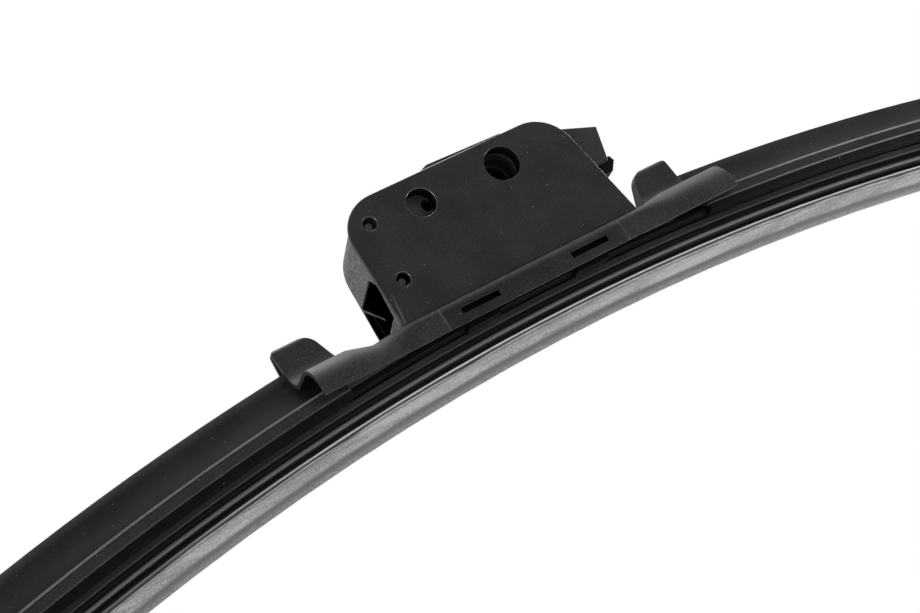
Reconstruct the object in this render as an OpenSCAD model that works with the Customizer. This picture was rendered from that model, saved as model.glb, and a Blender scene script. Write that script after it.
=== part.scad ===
// Frameless wiper blade: a bowed rubber wiping strip held by two spring rails, under a two-part
// spoiler, with a moulded carrier in the middle and a side-pin adapter housing on top of it.
// Millimetres. X runs along the blade, Z is up and the lip points down, Y runs through the housing.
// The origin is on the axis of the side-pin bore, in the middle plane of the wiping strip.

/* [Blade arc] */
// Length of the wiping strip, along its lip
blade_len = 400; // [300:10:600]
// Radius of the free bow, measured at the lip
blade_r = 570; // [500:10:900]
// Where the middle of the bow lies along X
blade_x = -6; // [-10:0.5:2]

/* [Wiping strip] */
// Width of the wiping edge
lip_edge_w = 0.7; // [0.5:0.05:1]
// Width of the lip where it leaves the shoulder
lip_root_w = 2.4; // [1.8:0.1:3]
// Height of the lip
lip_h = 4.1; // [3.5:0.1:4.2]
// Width of the shoulder that stops the lip from folding too far
shoulder_w = 4.8; // [4:0.1:6]
// Height of the shoulder
shoulder_h = 0.8; // [0.6:0.05:0.9]
// Height of the nick between lip and shoulder
nick_h = 0.35; // [0.2:0.05:0.4]
// Width of the web that lets the lip flip over
web_w = 1.5; // [1.2:0.1:2]
// Height of the web
web_h = 1.1; // [0.9:0.1:1.2]
// Width of the two ridges above the web
ridge_w = 7.4; // [6.5:0.1:8]
// Height of the lower ridge
low_ridge_h = 1.2; // [1:0.1:1.3]
// Height of the gap between the ridges
ridge_gap_h = 1; // [0.8:0.1:1.1]
// Width of the strip inside the gap between the ridges
ridge_core_w = 4.4; // [3:0.1:5]
// Height of the upper ridge, up to the rails
up_ridge_h = 1.75; // [1.6:0.05:1.8]
// Width of the head bead above the rails
head_w = 6; // [5:0.1:7]
// Height of the head bead
head_h = 1.2; // [1:0.1:1.3]
// Width of the strip between the two rails
core_w = 2.2; // [1.8:0.1:2.6]

/* [Spring rails] */
// Width of one rail
rail_w = 6.4; // [6:0.1:6.6]
// Thickness of one rail
rail_t = 0.9; // [0.7:0.05:0.95]
// Room between a rail and what holds it
rail_fit = 0.1; // [0.05:0.01:0.12]

/* [Spoiler] */
// Wall of the spoiler beside the rails
spoiler_wall = 1.6; // [1.5:0.05:1.8]
// Height of the widest edge above the lip
skirt_v = 11.3; // [11.2:0.1:11.8]
// How far the lower edge lies inside the widest edge
hem_in = 0.8; // [0.6:0.1:1]
// How far the upper crease lies inside the widest edge
crease_in = 1.2; // [1:0.1:1.5]
// Height of the upper crease above the lip
crease_v = 14.1; // [13.6:0.1:14.3]
// How far the ridge lies inside the widest edge on the far side
ridge_in = 1.7; // [1.7:0.05:1.9]
// Height of the ridge above the lip
ridge_v = 25.1; // [24:0.1:25.2]
// Radius of the rounded ridge
ridge_r = 0.55; // [0.4:0.05:0.6]
// Where the hollow near face is pulled to, behind the middle plane
hollow_y = 4.4; // [4.2:0.1:4.8]
// Height of that pull above the lip
hollow_v = 15.2; // [15:0.1:15.6]
// Thickness of the claws that hook under the rails
claw_t = 0.7; // [0.5:0.05:0.8]
// How far those claws reach under the rails
claw_hook = 2.2; // [1.9:0.1:2.4]
// How far the left spoiler half reaches into the carrier
tuck_left = 5.8; // [4:0.1:7]
// How far the right spoiler half reaches into the carrier
tuck_right = 7.2; // [4:0.1:8]

/* [End caps] */
// Length of an end cap
cap_len = 20; // [14:1:30]
// Wall of an end cap
cap_wall = 1.1; // [0.8:0.1:1.4]
// Room between an end cap and the spoiler
cap_fit = 0.15; // [0.1:0.05:0.25]
// Length of the clip that ties the two rails inside an end cap
clip_len = 6; // [4:0.5:8]
// Thickness of that clip
clip_t = 0.5; // [0.4:0.05:0.6]
// Distance of the clip from the end of the strip, and from the spoiler
clip_set = 0.6; // [0.4:0.1:1]

/* [Carrier] */
// Length of the carrier
carrier_len = 105.4; // [105:0.2:110]
// Where the middle of the carrier lies along X
carrier_x = -8.4; // [-9:0.1:-8]
// Room between the spoiler and the carrier's skirts
skirt_room = 1.3; // [1.2:0.05:1.6]
// Height of the skirts below the deck
skirt_h = 5.9; // [5.8:0.1:6.6]
// Wall of the carrier
carrier_wall = 1; // [0.9:0.05:1.1]
// Depth of the deck below the side-pin bore
deck_drop = 22.4; // [21:0.1:26]
// Rise of the raised ends above the deck
hump_rise = 1.8; // [1.5:0.1:2]
// Shoulder radius of the raised ends
hump_r = 6.3; // [5.8:0.1:6.5]
// Shoulder radius of the deck
deck_r = 1.9; // [1.5:0.1:2.2]
// Shoulder radius at the foot of the left ramp
foot_r = 5.5; // [4:0.1:5.8]
// Length of the ramp up to the left raised end
ramp_len_left = 5.5; // [4:0.1:6]
// Length of the ramp up to the right raised end
ramp_len_right = 6.5; // [5:0.1:7]
// Room between the housing and the left ramp
ramp_left_gap = 7.9; // [6:0.1:8.5]
// Room between the housing and the right ramp
ramp_right_gap = 1; // [0.5:0.1:2]
// Rise of the fins above the deck
fin_rise = 12.3; // [11.9:0.1:12.8]
// Length of a fin at its foot
fin_len = 13; // [11:0.1:14]
// How much longer a fin is at its foot than under its crest
fin_splay = 2.8; // [2:0.1:3.4]
// Step between the right fin and the carrier's end
fin_set_right = 1; // [0.5:0.1:2]
// Radius of the fins' upper corner towards the housing
fin_corner_r = 4.2; // [3:0.1:5]
// Radius of the fins' upper corner at the carrier's end
fin_end_r = 1.2; // [0.8:0.1:2]
// Radius of the fins' crest
fin_tip_r = 1.3; // [1.25:0.05:1.5]
// Room between the spoiler's ridge and a fin's walls
fin_room = 0.5; // [0.4:0.05:0.6]
// How far the fold at a fin's foot lies before the spoiler's ridge
fold_in = 6.2; // [5.8:0.1:6.6]
// Height of that fold's hollow
fold_h = 4.8; // [4.2:0.1:5.2]
// Where that hollow is pulled to, across and up from the fold
fold_pull = [3.5, 1];
// Length of a slot in the carrier's sides
slot_len = 9.4; // [7:0.1:12]
// Height of a slot in the carrier's sides
slot_h = 1.35; // [1:0.05:1.6]
// Depth of the slots' middle below the deck
slot_below = 3.3; // [3:0.1:3.6]
// Distance between the two slots' middles
slot_pitch = 27.9; // [24:0.1:32]
// Length of the proud pad that carries the slots
pad_len = 45.8; // [42:0.1:50]
// How far that pad stands proud
pad_t = 0.15; // [0.1:0.05:0.2]

/* [Claw bracket] */
// Thickness of the pressed steel
bracket_t = 0.9; // [0.8:0.05:1.1]
// Length of the bracket
bracket_len = 52; // [46:1:58]
// Length of one claw
claw_len = 8; // [6:0.5:10]
// How far a claw reaches under its rail
claw_reach = 2; // [1.5:0.1:2.2]
// Room between the head of the strip and the bracket
head_room = 1.2; // [1:0.1:2]

/* [Housing] */
// Distance of the side plate's face from the middle plane
plate_y = 9.75; // [9.5:0.05:10]
// Distance of the far wall's face from the middle plane
far_y = 11.5; // [11:0.1:11.6]
// Height of the housing above the side-pin bore
housing_top = 6.25; // [6:0.05:7]
// Left end of the housing, at bore height
housing_left = -36.9; // [-39:0.1:-36]
// Radius of the shell's upper left corner behind the side plate
corner_left_r = 6.6; // [5:0.1:6.9]
// Radius of the upper left corner at the far wall
corner_far_r = 10.4; // [8:0.1:11]
// Lean of the shell's left end behind the side plate
lean_left = 3.1; // [2:0.1:3.5]
// Lean of the left end at the far wall
lean_far = 2; // [1:0.1:3.5]
// Right end of the housing, at bore height
housing_right = 17.6; // [17:0.1:18.5]
// Radius of the upper right corner
corner_right_r = 9.1; // [8:0.1:9.6]
// Lean of the right end
lean_right = 10.3; // [9:0.1:11]
// Wall of the housing
housing_wall = 1.3; // [1.2:0.1:1.6]
// Thickness of the side plate
plate_t = 1; // [0.8:0.1:1.2]
// Left edge of the side plate, which stands a little past the end wall
plate_left = -39; // [-39.3:0.1:-38.6]
// Radius of the side plate's upper left corner
plate_corner_r = 9; // [8.5:0.1:9.3]
// Width of the groove between the side plate and the end wall
groove_w = 0.35; // [0.2:0.05:0.5]
// Right end of the housing's closed top
roof_end = -17.2; // [-20:0.1:-16.8]
// Height of the opening in the left end, from the floor
port_h = 12.8; // [12:0.1:13]
// Wall between that opening and the side plate's groove
port_jamb = 3.3; // [3:0.1:4]
// Slant of the opening's near edge
port_slant = 0.5; // [0.2:0.1:0.8]
// Height and width of the chamfer at the opening's upper corner
port_chamfer = [3.1, 2.8];
// Fall of the opening's upper edge towards the far wall
port_fall = 1.2; // [0.8:0.1:1.6]
// Skin that closes that opening on the far side
port_skin = 0.6; // [0.5:0.1:0.8]
// Thickness of the slanting rib in that opening, at its far end
rib_t = 0.8; // [0.6:0.1:1]
// Width of the rib, from the far skin to its tip
rib_w = 9.7; // [8:0.1:11]
// How far the rib falls towards its tip
rib_fall = 7; // [6:0.1:8]
// Depth of the rib behind the end wall
rib_deep = 3; // [2:0.5:5]
// Height of the gusset in the opening's near lower corner
gusset_h = 2.6; // [2:0.1:3]
// Width of that gusset
gusset_w = 7.2; // [6:0.1:8]
// How far the gusset falls across that width
gusset_fall = 0.7; // [0.3:0.1:1]

/* [Pin bores] */
// Radius of the bore for the side pin's shoulder
pin_bore_r = 3.97; // [3.7:0.01:4.1]
// Radius of the deeper bore that the side pin turns in
journal_r = 3.25; // [3.1:0.01:3.4]
// Depth of the step between the two bores, from the side plate's face
step_depth = 8.6; // [7.5:0.1:9.5]
// Distance from the side-pin bore to the peg socket
peg_pitch = 20.8; // [20:0.1:21.5]
// Depth of the peg socket's axis below the side-pin bore
peg_drop = 0.2; // [0:0.1:0.5]
// Radius of the peg socket
peg_r = 3.24; // [3:0.01:3.5]
// Wall of the collars behind the side plate
collar_wall = 1.8; // [1.4:0.1:2.2]
// Depth of the collars, side plate included
collar_depth = 3.5; // [3:0.1:4]
// Radius of the relief hole in the peg socket's floor
relief_r = 1.3; // [1:0.1:1.6]
// Distance of the relief hole from the socket's axis
relief_x = 2.4; // [2:0.1:2.6]
// Depth of the relief hole
relief_deep = 5; // [3:0.5:8]

/* [Adapter block] */
// Height of the block above the side-pin bore, at its left
block_top = 8.2; // [7.8:0.1:8.6]
// Wall of the block left of the peg socket
block_wall = 5.2; // [4.8:0.1:6]
// Depth of the block's underside left of the side-pin bore
belly_drop = 6; // [5:0.1:7]
// Length of the ramp at the left end of the block's top
ramp_w = 3.6; // [2:0.1:5]
// Where the top bends down into the tail
knee_x = 5; // [3:0.1:7]
// How much lower the top is there
knee_fall = 0.55; // [0.3:0.05:0.8]
// Right end of the block's tail
tail_x = 26.2; // [25:0.1:28]
// Depth of the tail's tip below the side-pin bore
tip_drop = 0.45; // [0:0.05:1.5]
// Depth of the tail's underside below the side-pin bore
tail_drop = 8.8; // [8.6:0.1:9]
// How far the tail's end slants in towards its underside
tail_slant = 1.9; // [1.4:0.1:2.2]
// Height of the small chamfer below that end
tail_chamfer = 1.2; // [0.8:0.1:1.4]
// Half length of the leg that stands on the housing's floor
leg_half = 4; // [3:0.1:4.4]
// Where the middle of that leg lies along X
leg_x = -4; // [-5:0.1:-3.5]

/* [Release button] */
// Width of the button
button_w = 10; // [8:0.1:10.4]
// Height of the button's shank
button_h = 2.6; // [2.2:0.1:3]
// Right end of the button's thumb pad
button_x = 25.9; // [25:0.1:26.2]
// How far the shank lies above the tail's underside
button_up = 0.5; // [0.4:0.05:0.7]
// Length of the thumb pad
pad_l = 3; // [2.6:0.1:3.2]
// How far the thumb pad rises above the shank
pad_up = 0.8; // [0.5:0.1:1]
// How far the thumb pad slants in towards its lower edge
pad_slant = 1.8; // [1.4:0.1:2]
// Travel of the button
button_travel = 2; // [1.5:0.1:2.2]
// Room round the button
button_fit = 0.1; // [0.05:0.05:0.15]
// Number of ribs on the thumb pad
grip_ribs = 4; // [3:1:5]
// Radius of a rib
grip_r = 0.45; // [0.3:0.05:0.45]
// Where the button's wider inner head ends
head_x = 8.6; // [8:0.1:9]
// Length of that head
head_l = 1.6; // [1.2:0.1:2]
// How far the head stands out above and below the shank
head_up = 1; // [0.6:0.1:1.2]
// Right end of the jaw under the shank
jaw_x = 17; // [15:0.1:18]
// Thickness of that jaw
jaw_t = 1.8; // [1.6:0.1:2]

/* [Pins and rivets] */
// Distance of the two assembly pins from the housing's left end
pin_inset = 3.7; // [3.4:0.1:4.2]
// How much nearer the lower pin lies to that end
pin_stagger = 0.2; // [0:0.1:0.4]
// Height of the upper pin above the side-pin bore
upper_pin_z = 0.4; // [-1:0.1:1]
// Height of the lower pin above the deck
lower_pin_up = 8.9; // [8:0.1:10]
// Radius of the two assembly pins
pin_r = 0.8; // [0.7:0.05:1]
// Length of an assembly pin
pin_len = 8; // [6:0.5:10]
// Radius of the recess round a pin's end
pin_recess_r = 1.5; // [1.4:0.05:1.8]
// Depth of that recess, from the side plate's face
pin_recess = 2.3; // [2:0.1:3]
// How far a pin's end lies below the side plate's face
pin_sink = 1.6; // [1.2:0.1:1.9]
// Radius of a rivet's shank
rivet_r = 1.5; // [1.2:0.1:1.8]
// Radius of a rivet's head
rivet_head_r = 2.6; // [2.2:0.1:3]
// Height of a rivet's head
rivet_head_h = 0.7; // [0.5:0.05:0.75]
// Distance of a rivet from the bracket's end
rivet_inset = 8; // [7:0.1:9]

/* [Hidden] */
$fn = 64;

// Heights of the strip's features above the lip
v_nick = lip_h;
v_shoulder = v_nick + nick_h;
v_web = v_shoulder + shoulder_h;
v_low = v_web + web_h;
v_gap = v_low + low_ridge_h;
v_up = v_gap + ridge_gap_h;
v_slot = v_up + up_ridge_h;
v_rail = v_slot + rail_fit;
v_head = v_rail + rail_t + rail_fit;
v_top = v_head + head_h;
rail_in = core_w / 2 + rail_fit;
rail_out = rail_in + rail_w;
v_claw = v_rail - rail_fit;
edge_soft = 0.25;

// How far a cut runs past the face it opens
past = 1;
// How far pieces of one moulding run into each other
sink = 0.1;
// Thickness of the slices that span a ramp
slice = 0.01;

// The middle planes, walls and heights that the pieces share
spoiler_half_w = rail_out + rail_fit + spoiler_wall;
ridge_y = spoiler_half_w - ridge_in;
skirt_y = spoiler_half_w + skirt_room + carrier_wall;
hump_drop = deck_drop - hump_rise;
fin_drop = deck_drop - fin_rise;
skirt_drop = deck_drop + skirt_h;
slot_drop = deck_drop + slot_below;
bracket_top = -deck_drop - carrier_wall;
bracket_low = bracket_top - bracket_t;
floor_z = -deck_drop + housing_wall;

// The bow: the strip's head lies under the bracket
lip_drop = v_top + head_room - bracket_low;
bow_z = -lip_drop - blade_r;
half_angle = blade_len / 2 / blade_r * 180 / PI;
turn = 180 / PI / blade_r;
function angle_at(x, v) = asin((x - blade_x) / (blade_r + v));
function bow_fall(x) = blade_r - sqrt(blade_r * blade_r - (x - blade_x) * (x - blade_x));

// The housing's planes across its width
plate_back = -plate_y + plate_t;
collar_end = -plate_y + collar_depth;
far_in = far_y - housing_wall;
wall_front = plate_back + groove_w;
roof_under = housing_top - housing_wall;
peg_at = [-peg_pitch, -peg_drop];
block_l = peg_at[0] - block_wall;

// The carrier's lengthwise stations: place, depth of the top, shoulder radius
carrier_l = carrier_x - carrier_len / 2;
carrier_r = carrier_x + carrier_len / 2;
foot_left = housing_left - deck_drop * tan(lean_left);
foot_right = housing_right + deck_drop * tan(lean_right);
ramp_left_x = foot_left - ramp_left_gap;
ramp_right_x = foot_right + ramp_right_gap;
stations = [[carrier_l, hump_drop, hump_r], [ramp_left_x - ramp_len_left, hump_drop, hump_r],
    [ramp_left_x, deck_drop, foot_r], [foot_left, deck_drop, deck_r],
    [ramp_right_x, deck_drop, deck_r], [ramp_right_x + ramp_len_right, hump_drop, hump_r],
    [carrier_r, hump_drop, hump_r]];
claw_x = [for (s = [-1, 1]) carrier_x + s * slot_pitch / 2];
claw_end = slot_pitch / 2 + claw_len / 2 + abs(carrier_x - blade_x);

// The release button's channel, and the pocket of its wider inner head
button_top = -tail_drop + button_up;
button_low = button_top - button_h;
pocket_l = head_x - head_l - button_travel - 6 * button_fit;
jaw_low = button_low - button_fit - jaw_t;

// A quadratic curve through a start, a pull point and an end
function bend(a, b, c, n) = [for (i = [0 : n]) let (t = i / n)
    a * (1 - t) * (1 - t) + b * 2 * t * (1 - t) + c * t * t];
// Points on an arc, angles in degrees
function arc(c, r, a, b, n) = [for (i = [0 : n]) let (t = a + (b - a) * i / n)
    [c[0] + r * cos(t), c[1] + r * sin(t)]];
function mirrored(p) = [for (i = [len(p) - 1 : -1 : 0]) [-p[i][0], p[i][1]]];
// The direction to the right of a line, and an open outline moved that way by g
function right_of(a, b) = let (d = (b - a) / norm(b - a)) [d[1], -d[0]];
function inset(p, g) = let (n = len(p) - 1) [for (i = [0 : n])
    let (m = right_of(p[max(i - 1, 0)], p[max(i, 1)]) + right_of(p[min(i, n - 1)], p[min(i + 1, n)]))
        p[i] + m * 2 * g / (m * m)];

// Sweeps a section of [y, height above the lip] along the bow, between two angles from its apex
module along_bow(from, to) {
    translate([blade_x, 0, bow_z])
        rotate([90, 0, 0])
            rotate([0, 0, 90 - to])
                rotate_extrude(angle = to - from, $fn = 360)
                    multmatrix([[0, 1, 0, blade_r], [-1, 0, 0, 0], [0, 0, 1, 0], [0, 0, 0, 1]])
                        children();
}

// Stands a drawing of [x, z] up and gives it a thickness from y0 to y1
module upright(y0, y1) {
    translate([0, y1, 0])
        rotate([90, 0, 0])
            linear_extrude(y1 - y0)
                children();
}

// Runs a section of [y, z] along X from x0 to x1
module lengthwise(x0, x1) {
    translate([x0, 0, 0])
        rotate([90, 0, 90])
            linear_extrude(x1 - x0)
                children();
}

// A round bar or hole along Y
module across(x, z, r, y0, y1) {
    translate([x, y1, z])
        rotate([90, 0, 0])
            cylinder(r = r, h = y1 - y0);
}

// Half of the strip's section, from the lip up to the head
function strip_half() = [
    [lip_edge_w / 2, 0],
    [lip_root_w / 2, v_nick],
    [lip_root_w / 2 - edge_soft, v_nick + nick_h / 2],
    [shoulder_w / 2 - edge_soft, v_shoulder],
    [shoulder_w / 2, v_shoulder + edge_soft],
    [shoulder_w / 2 - edge_soft, v_web],
    [web_w / 2, v_web + edge_soft],
    [web_w / 2, v_low - edge_soft],
    [ridge_w / 2 - edge_soft, v_low],
    [ridge_w / 2, v_low + edge_soft],
    [ridge_w / 2, v_gap - edge_soft],
    [ridge_w / 2 - edge_soft, v_gap],
    [ridge_core_w / 2, v_gap + edge_soft / 2],
    [ridge_core_w / 2, v_up - edge_soft / 2],
    [ridge_w / 2 - 3 * edge_soft, v_up],
    [ridge_w / 2 - edge_soft, v_up + edge_soft],
    [ridge_w / 2 - edge_soft, v_slot - edge_soft],
    [ridge_w / 2 - 2 * edge_soft, v_slot],
    [core_w / 2, v_slot],
    [core_w / 2, v_head],
    [head_w / 2 - edge_soft, v_head],
    [head_w / 2, v_head + edge_soft],
    [head_w / 2, v_top - edge_soft],
    [head_w / 2 - edge_soft, v_top]];

module wiper_rubber() {
    color([0.09, 0.09, 0.10])
        along_bow(-half_angle, half_angle)
            polygon(concat(strip_half(), mirrored(strip_half())));
}

module rail(side) {
    color([0.16, 0.16, 0.17])
        along_bow(-half_angle + 0.15, half_angle - 0.15)
            translate([side > 0 ? rail_in : -rail_out, v_rail])
                square([rail_w, rail_t]);
}

// Outside of the spoiler, grown by g for the end caps
function spoiler_skin(g) = concat(
    [[-spoiler_half_w + hem_in - g / 2, v_claw - claw_t - g], [-spoiler_half_w - g, skirt_v]],
    bend([-spoiler_half_w + crease_in - g, crease_v + g / 3], [hollow_y - g, hollow_v + g],
        [ridge_y - ridge_r - g, ridge_v - ridge_r], 12),
    arc([ridge_y, ridge_v - ridge_r], ridge_r + g, 165, 15, 5),
    [[spoiler_half_w - crease_in + g, crease_v], [spoiler_half_w + g, skirt_v],
     [spoiler_half_w - hem_in + g / 2, v_claw - claw_t - g]]);

// The mouth between the claws, from a depth below the rails
module claw_mouth(drop) {
    translate([-rail_out + claw_hook, v_claw - drop])
        square([2 * (rail_out - claw_hook), drop + claw_t]);
}

// Room for the rails and the strip's head inside the spoiler
module spoiler_channel() {
    translate([-rail_out - rail_fit, v_claw])
        square([2 * (rail_out + rail_fit), rail_t + 2 * rail_fit]);
    translate([-head_w / 2 - rail_fit, v_claw])
        square([head_w + 2 * rail_fit, v_top + rail_fit - v_claw]);
    claw_mouth(2 * claw_t);
}

module spoiler(from, to) {
    color([0.15, 0.15, 0.16])
        along_bow(from, to)
            difference() {
                polygon(spoiler_skin(0));
                spoiler_channel();
            }
}

// The spoiler stops short of the rail clips
spoiler_tip = half_angle - (clip_len + 2 * clip_set) * turn;

module spoiler_left() {
    spoiler(-spoiler_tip, angle_at(carrier_l + tuck_left, skirt_v));
}

module spoiler_right() {
    spoiler(angle_at(carrier_r - tuck_right, skirt_v), spoiler_tip);
}

// A bent clip over the strip's head ties the two rails together near their ends
module rail_clip(side) {
    from = half_angle - (clip_len + clip_set) * turn;
    to = half_angle - clip_set * turn;
    v_foot = v_rail + rail_t;
    v_bridge = v_top + rail_fit;
    half = [[rail_out + rail_fit + clip_t, v_rail],
        [rail_out + rail_fit + clip_t, v_foot + clip_t],
        [head_w / 2 + rail_fit + clip_t, v_foot + clip_t],
        [head_w / 2 + rail_fit + clip_t, v_bridge + clip_t]];
    under = [[rail_out + rail_fit, v_rail - past], [rail_out + rail_fit, v_foot],
        [head_w / 2 + rail_fit, v_foot], [head_w / 2 + rail_fit, v_bridge]];
    color([0.55, 0.55, 0.56])
        along_bow(side > 0 ? from : -to, side > 0 ? to : -from)
            difference() {
                polygon(concat(half, mirrored(half)));
                polygon(concat(under, mirrored(under)));
            }
}

// An end cap: a sleeve over the spoiler's end, closed by an end wall above the lip
module end_cap(side) {
    mouth = half_angle - cap_len * turn;
    inner_wall = half_angle + cap_fit * turn;
    outer_wall = inner_wall + cap_wall * turn;
    open = mouth - past * turn;
    color([0.13, 0.13, 0.14])
        difference() {
            along_bow(side > 0 ? mouth : -outer_wall, side > 0 ? outer_wall : -mouth)
                polygon(spoiler_skin(cap_wall + cap_fit));
            along_bow(side > 0 ? open : -inner_wall, side > 0 ? inner_wall : -open)
                polygon(spoiler_skin(cap_fit));
            along_bow(side > 0 ? open : -inner_wall, side > 0 ? inner_wall : -open)
                claw_mouth(4 * claw_t);
        }
}

// The bracket's claws follow the rails' bow and run up into its plate
module claw_section() {
    claw_top = lip_drop + bracket_low + bow_fall(blade_x + claw_end) + sink;
    translate([rail_out + 2 * rail_fit, v_claw - bracket_t])
        square([bracket_t, claw_top - v_claw + bracket_t]);
    translate([rail_out - claw_reach, v_claw - bracket_t])
        square([claw_reach + 2 * rail_fit + bracket_t, bracket_t]);
}

module claw_bracket() {
    half = rail_out + 2 * rail_fit + bracket_t + sink;
    color([0.30, 0.30, 0.32])
        difference() {
            union() {
                translate([carrier_x - bracket_len / 2, -half, bracket_low])
                    cube([bracket_len, 2 * half, bracket_t]);
                for (x = claw_x, s = [-1, 1])
                    along_bow(angle_at(x - claw_len / 2, v_rail), angle_at(x + claw_len / 2, v_rail))
                        mirror([s > 0 ? 0 : 1, 0])
                            claw_section();
            }
            for (s = [-1, 1])
                rivet_hole(s);
        }
}

function rivet_x(s) = carrier_x + s * (bracket_len / 2 - rivet_inset);

module rivet_hole(s) {
    translate([rivet_x(s), 0, bracket_low - past])
        cylinder(r = rivet_r, h = floor_z - bracket_low + 2 * past);
}

// Cross-section of the carrier without its fins: skirts, rounded shoulders and a flat top
function top_profile(drop, r) = concat([[-skirt_y, -skirt_drop]],
    arc([-skirt_y + r, -drop - r], r, 180, 90, 12), arc([skirt_y - r, -drop - r], r, 90, 0, 12),
    [[skirt_y, -skirt_drop]]);

// Cross-section at a raised end: the top folds up into a hollow fin over the spoiler's ridge
function fin_profile() = let (wall_y = ridge_r + fin_room + carrier_wall, foot_z = -hump_drop + fold_h)
    concat([[-skirt_y, -skirt_drop]], arc([-skirt_y + hump_r, -hump_drop - hump_r], hump_r, 180, 90, 12),
        bend([ridge_y - fold_in, -hump_drop], [ridge_y - fold_in, -hump_drop] + fold_pull,
            [ridge_y - wall_y, foot_z], 8),
        arc([ridge_y, -fin_drop - fin_tip_r], fin_tip_r, 170, 10, 8),
        [[ridge_y + wall_y, foot_z], [skirt_y, -hump_drop - hump_r], [skirt_y, -skirt_drop]]);

// A profile as it is, or with g = the wall as the room inside it, open below
module shell(p, g) {
    low = -skirt_drop - past;
    n = len(p) - 1;
    polygon(g == 0 ? p : concat([[p[0][0] + g, low]], inset(p, g), [[p[n][0] - g, low]]));
}

// The carrier's body along its stations, as a solid or as the room inside it
module carrier_body(g) {
    for (i = [0 : len(stations) - 2]) {
        a = stations[i];
        b = stations[i + 1];
        run = g == 0 ? 0 : past;
        if (a[1] == b[1] && a[2] == b[2])
            lengthwise(a[0] - (i == 0 ? run : 0), b[0] + (i == len(stations) - 2 ? run : 0))
                shell(top_profile(a[1], a[2]), g);
        else
            hull()
                for (s = [a, b])
                    lengthwise(s[0] - slice / 2, s[0] + slice / 2)
                        shell(top_profile(s[1], s[2]), g);
    }
}

// A fin seen from the side, from its outer end at 0 inwards, as a solid or as the room inside it
module fin_outline(g) {
    top = -fin_drop - g;
    root = -hump_drop - 2 * carrier_wall;
    open = -fin_set_right - past;
    inner = fin_len - fin_splay - fin_corner_r - g;
    polygon(concat([[g == 0 ? 0 : open, root]],
        g == 0 ? arc([fin_end_r, top - fin_end_r], fin_end_r, 180, 90, 6) : [[open, top]],
        arc([inner, top - fin_corner_r], fin_corner_r, 90, 20, 10), [[fin_len - g, root]]));
}

module fin(x_out, side, g) {
    reach = fin_len + fin_set_right + past;
    intersection() {
        lengthwise(x_out - reach, x_out + reach)
            shell(fin_profile(), g);
        translate([x_out, 0, 0])
            upright(ridge_y - fold_in + g, skirt_y)
                mirror([side > 0 ? 1 : 0, 0])
                    fin_outline(g);
    }
}

module carrier_shape(g) {
    carrier_body(g);
    fin(carrier_l, -1, g);
    fin(carrier_r - fin_set_right, 1, g);
}

module carrier() {
    pad_h = skirt_h - deck_r;
    color([0.17, 0.17, 0.18])
        difference() {
            union() {
                carrier_shape(0);
                translate([carrier_x - pad_len / 2, -skirt_y - pad_t, -skirt_drop])
                    cube([pad_len, 2 * (skirt_y + pad_t), pad_h]);
            }
            carrier_shape(carrier_wall);
            for (x = claw_x)
                translate([x - slot_len / 2, -skirt_y - past, -slot_drop - slot_h / 2])
                    cube([slot_len, 2 * (skirt_y + past), slot_h]);
            for (s = [-1, 1])
                rivet_hole(s);
        }
}

// Side view of the housing, [x, z], drawn in by g on all sides but the floor
module housing_outline(g, left, left_r, lean) {
    cl = [left + left_r, housing_top - left_r];
    cr = [housing_right - corner_right_r, housing_top - corner_right_r];
    rl = left_r - g;
    rr = corner_right_r - g;
    tl = [cl[0] - rl * cos(lean), cl[1] + rl * sin(lean)];
    tr = [cr[0] + rr * cos(lean_right), cr[1] + rr * sin(lean_right)];
    foot = -deck_drop;
    polygon([[tl[0] - (tl[1] - foot) * tan(lean), foot], tl, cl, [cl[0], housing_top - g],
        [cr[0], housing_top - g], cr, tr, [tr[0] + (tr[1] - foot) * tan(lean_right), foot]]);
    translate(cl)
        circle(r = rl);
    translate(cr)
        circle(r = rr);
}

pin_at = [[housing_left + pin_inset, upper_pin_z],
    [housing_left + pin_inset - pin_stagger, -deck_drop + lower_pin_up]];
boss_r = pin_recess_r + 1;
port_top = floor_z + port_h;
port_near = wall_front + port_jamb;
port_far = far_y - port_skin;
port_in = housing_left + housing_wall;
port_out = foot_left - past;

// The shell's solid: its upper left corner grows rounder towards the far wall
module housing_solid(g, y0, y1) {
    hull() {
        upright(y0, y0 + slice)
            housing_outline(g, housing_left, corner_left_r, lean_left);
        upright(y1 - slice, y1)
            housing_outline(g, housing_left, corner_far_r, lean_far);
    }
}

// The opening in the left end, [y, z]
module port() {
    low_near = port_near + port_slant;
    polygon([[low_near, floor_z], [low_near, floor_z + gusset_h], [port_near, port_top - port_chamfer[1]],
        [port_near + port_chamfer[0], port_top], [port_far, port_top - port_fall], [port_far, floor_z]]);
}

// The rib that slants across the opening and thins out towards its tip
module port_rib() {
    a = [port_far + sink, port_top - port_fall];
    b = [port_far - rib_w, port_top - port_fall - rib_fall];
    polygon([a, a - [0, rib_t], b - [0, rib_t / 2], b]);
}

// The gusset in the opening's near lower corner
module port_gusset() {
    a = [port_near + port_slant - sink, floor_z + gusset_h];
    polygon([a, a + [gusset_w, -gusset_fall], [a[0] + gusset_w, floor_z - sink], [a[0], floor_z - sink]]);
}

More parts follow.
